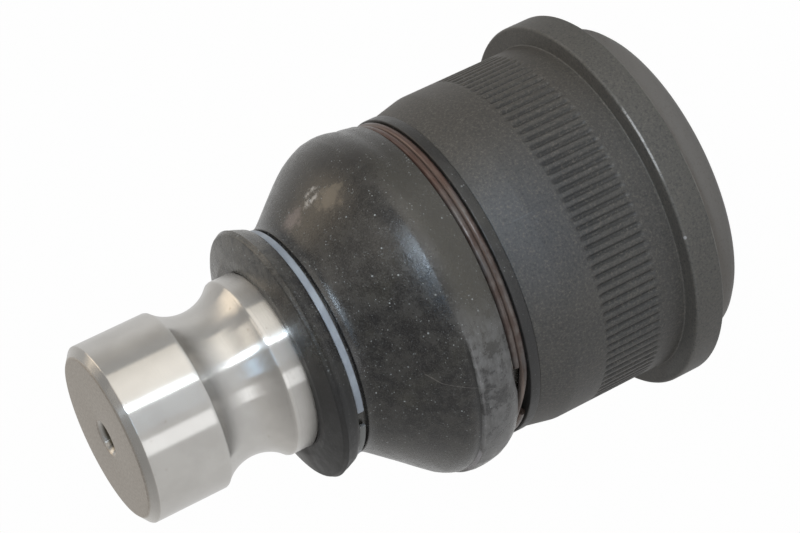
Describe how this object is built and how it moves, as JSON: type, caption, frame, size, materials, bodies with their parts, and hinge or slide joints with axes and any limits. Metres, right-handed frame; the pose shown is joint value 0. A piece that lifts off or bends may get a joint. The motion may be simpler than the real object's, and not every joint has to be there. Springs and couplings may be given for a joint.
{
  "type": "suspension ball joint",
  "caption": "Press-in suspension ball joint: flanged serrated steel housing, ball stud with a round pinch-bolt groove, rubber dust boot with its clamp rings.",
  "frame": {"origin": "centre of the ball, on the axis of the press diameter", "axes": "+Z along the stud, from the cover to the stud's end; the stud is straight at rest"},
  "size_m": [0.0512, 0.0512, 0.0803],
  "materials": {
    "housing_coating": "satin charcoal phosphate and oil coating",
    "turned_steel": "bright turned and ground steel",
    "seat_plastic": "natural acetal",
    "spring_steel": "oiled spring steel",
    "boot_rubber": "moulded black rubber with a dusty bloom",
    "brown_wire": "dark copper-brown wire",
    "grey_band": "bluish-grey band",
    "insert_steel": "plain steel"
  },
  "bodies": {
    "housing": {"housing": "housing_coating", "end_cover": "housing_coating", "stud_side_seat": "seat_plastic", "cap_side_seat": "seat_plastic", "preload_spring": "spring_steel", "boot_wire_ring": "brown_wire"},
    "boot": {"dust_boot": "boot_rubber"},
    "boot_lip": {"boot_lip_insert": "insert_steel", "boot_lock_ring": "grey_band"},
    "stud": {"ball_stud": "turned_steel"}
  },
  "joints": [
    {"name": "swing_direction", "type": "hinge", "parent": "housing", "child": "boot", "pos_m": [0, 0, 0], "axis": [0, 0, 1], "continuous": true},
    {"name": "stud_swing", "type": "hinge", "parent": "boot", "child": "boot_lip", "pos_m": [0, 0, 0], "axis": [1, 0, 0], "range_deg": [-23, 23], "deforming": ["dust_boot"]},
    {"name": "stud_spin", "type": "hinge", "parent": "boot_lip", "child": "stud", "pos_m": [0, 0, 0], "axis": [0, 0, 1], "continuous": true}
  ]
}
